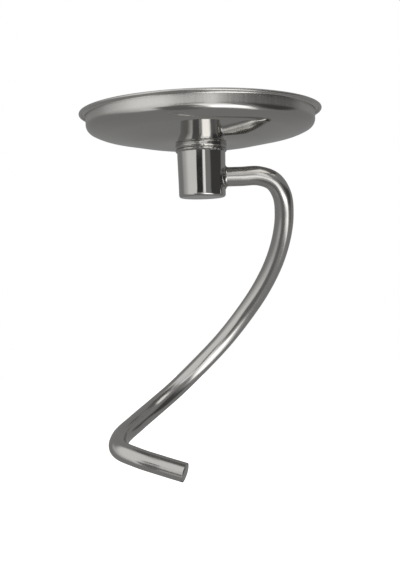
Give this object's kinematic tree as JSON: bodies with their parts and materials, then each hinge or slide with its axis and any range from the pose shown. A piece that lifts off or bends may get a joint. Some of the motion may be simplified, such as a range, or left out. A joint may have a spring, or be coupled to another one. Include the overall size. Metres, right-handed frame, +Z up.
{
  "type": "dough hook",
  "caption": "Spiral dough hook for a stand mixer: a socketed drive hub, a dished round splash shield and a round rod bent into a descending spiral.",
  "frame": {"origin": "middle of the drive socket's mouth, on the axis that the mixer turns the hook about", "axes": "+Z up along the hub's axis, out of the socket towards the mixer; +X is the side where the rod leaves the hub; +Y completes the right-handed frame"},
  "size_m": [0.125, 0.125, 0.1908],
  "materials": {
    "hub_steel": "turned and mirror polished stainless steel",
    "shield_steel": "pressed stainless sheet, polished underneath, brushed around the wall",
    "rod_steel": "burnished stainless bar",
    "weld_metal": "polished stainless weld bead"
  },
  "bodies": {
    "root": {"drive_hub": "hub_steel", "splash_shield": "shield_steel", "hook_rod": "rod_steel", "shield_weld": "weld_metal", "rod_weld": "weld_metal"}
  },
  "joints": []
}
